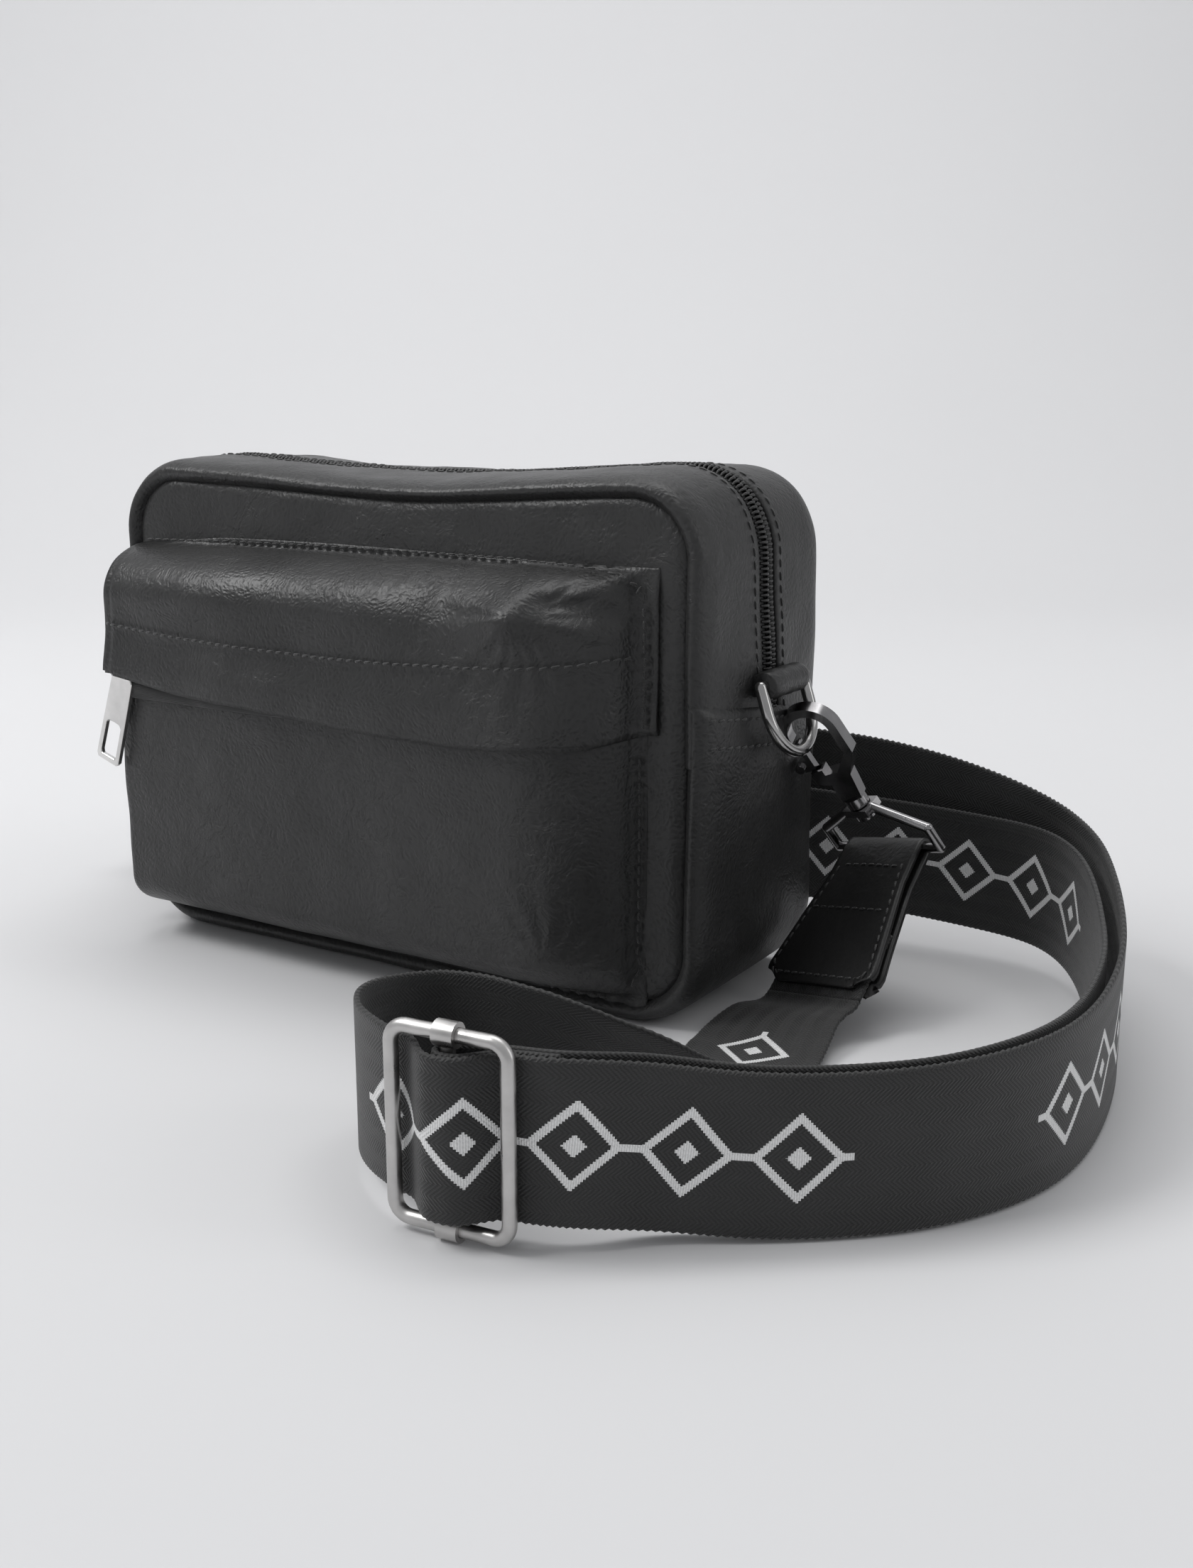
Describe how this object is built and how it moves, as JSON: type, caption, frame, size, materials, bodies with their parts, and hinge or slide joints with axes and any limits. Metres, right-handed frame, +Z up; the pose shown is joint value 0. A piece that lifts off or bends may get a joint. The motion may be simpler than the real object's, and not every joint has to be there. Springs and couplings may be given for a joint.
{
  "type": "crossbody camera bag",
  "caption": "Boxy leather crossbody bag with a zipped front pocket under a flap, D-rings, snap hooks and a webbing strap with a tri-glide.",
  "frame": {"origin": "on the floor under the middle of the bag's base", "axes": "+Z up, +X towards the bag's right end where the leather tab is, front pocket faces -Y"},
  "size_m": [0.3815, 0.2566, 0.158],
  "materials": {
    "leather_body": "fine full grain, satin",
    "leather_tab": "smooth, satin",
    "lining_cloth": "plain weave",
    "base_stiffener": "matte",
    "zip_tape": "woven",
    "zip_coil": "satin",
    "zip_metal": "polished nickel",
    "ring_metal": "polished nickel",
    "hook_metal": "polished dark nickel",
    "glide_metal": "satin nickel",
    "webbing": "ribbed twill weave"
  },
  "bodies": {
    "bag": {"front_panel": "leather_body", "back_panel": "leather_body", "lower_gusset": "leather_body", "zip_gusset_front": "leather_body", "zip_gusset_back": "leather_body", "main_zip_tape_front": "zip_tape", "main_zip_tape_back": "zip_tape", "main_zip_coil_front": "zip_coil", "main_zip_coil_back": "zip_coil", "lining": "lining_cloth", "base_board": "base_stiffener", "main_zip_end_stops": "zip_metal", "pocket_body": "leather_body", "pocket_flap": "leather_body", "pocket_zip_tape_lower": "zip_tape", "pocket_zip_tape_upper": "zip_tape", "pocket_zip_coil": "zip_coil", "d_loop_right": "leather_body", "d_loop_left": "leather_body", "webbing_strap": "webbing", "glide_bar": "glide_metal"},
    "main_slider": {"main_zip_slider": "zip_metal"},
    "main_pull": {"main_zip_pull": "zip_metal"},
    "pocket_slider": {"pocket_zip_slider": "zip_metal"},
    "pocket_pull": {"pocket_zip_pull": "zip_metal"},
    "ring_right": {"d_ring_right": "ring_metal"},
    "ring_left": {"d_ring_left": "ring_metal"},
    "strap_tab": {"tab_leather": "leather_tab", "webbing_sewn_end": "webbing"},
    "swivel_right": {"yoke_right": "hook_metal"},
    "swivel_left": {"yoke_left": "hook_metal"},
    "hook_right": {"hook_body_right": "hook_metal", "gate_pin_right": "hook_metal", "hook_rivet_right": "hook_metal"},
    "hook_left": {"hook_body_left": "hook_metal", "gate_pin_left": "hook_metal", "hook_rivet_left": "hook_metal"},
    "gate_right": {"hook_gate_right": "hook_metal"},
    "gate_left": {"hook_gate_left": "hook_metal"},
    "tri_glide": {"glide_frame": "glide_metal"}
  },
  "joints": [
    {"name": "main_slider_slide", "type": "slide", "parent": "bag", "child": "main_slider", "axis": [0, 0, 1], "range_m": [0, 0.012]},
    {"name": "main_pull_hinge", "type": "hinge", "parent": "main_slider", "child": "main_pull", "pos_m": [-0.1124, 0, 0.118], "axis": [0, 1, 0], "range_deg": [0, 100]},
    {"name": "pocket_slider_slide", "type": "slide", "parent": "bag", "child": "pocket_slider", "axis": [1, 0, 0], "range_m": [0, 0.165]},
    {"name": "pocket_pull_hinge", "type": "hinge", "parent": "pocket_slider", "child": "pocket_pull", "pos_m": [-0.0825, -0.057, 0.091], "axis": [-1, 0, 0], "range_deg": [-2.5, 7]},
    {"name": "ring_right_hinge", "type": "hinge", "parent": "bag", "child": "ring_right", "pos_m": [0.1152, 0, 0.098], "axis": [0, -1, 0], "range_deg": [-2.5, 2.5]},
    {"name": "ring_left_hinge", "type": "hinge", "parent": "bag", "child": "ring_left", "pos_m": [-0.1152, 0, 0.098], "axis": [0, 1, 0], "range_deg": [-2.5, 2.5]},
    {"name": "strap_tab_hinge", "type": "hinge", "parent": "bag", "child": "strap_tab", "pos_m": [0.13073, -0.00628, 0.00725], "axis": [0.9141, -0.3517, 0.2018], "range_deg": [-1, 1]},
    {"name": "swivel_right_hinge", "type": "hinge", "parent": "strap_tab", "child": "swivel_right", "pos_m": [0.13712, 0.03166, 0.04443], "axis": [0.9141, -0.3517, 0.2018], "range_deg": [-1.5, 1.5]},
    {"name": "swivel_left_hinge", "type": "hinge", "parent": "bag", "child": "swivel_left", "pos_m": [-0.13639, 0.0057, 0.03433], "axis": [-0.9486, -0.0407, 0.3138], "range_deg": [-1.5, 1.5]},
    {"name": "hook_right_swivel", "type": "hinge", "parent": "swivel_right", "child": "hook_right", "pos_m": [0.12037, 0.00972, 0.0821], "axis": [-0.3588, -0.4697, 0.8066], "range_deg": [-12, 12]},
    {"name": "gate_right_hinge", "type": "hinge", "parent": "hook_right", "child": "gate_right", "pos_m": [0.12094, 0.01712, 0.06806], "axis": [-0.12, 0.8802, 0.4592], "range_deg": [0, 20], "stiffness_Nm_per_rad": 0.02, "springref_deg": -8.59},
    {"name": "hook_left_swivel", "type": "hinge", "parent": "swivel_left", "child": "hook_left", "pos_m": [-0.12161, 0, 0.07827], "axis": [0.3164, -0.122, 0.9407], "range_deg": [-12, 12]},
    {"name": "gate_left_hinge", "type": "hinge", "parent": "hook_left", "child": "gate_left", "pos_m": [-0.12143, 0.00183, 0.0625], "axis": [-0.0389, -0.9925, -0.1156], "range_deg": [0, 20], "stiffness_Nm_per_rad": 0.02, "springref_deg": -8.59},
    {"name": "tri_glide_slide", "type": "slide", "parent": "bag", "child": "tri_glide", "axis": [0.9962, 0.0872, 0], "range_m": [-0.0015, 0.0015]}
  ]
}
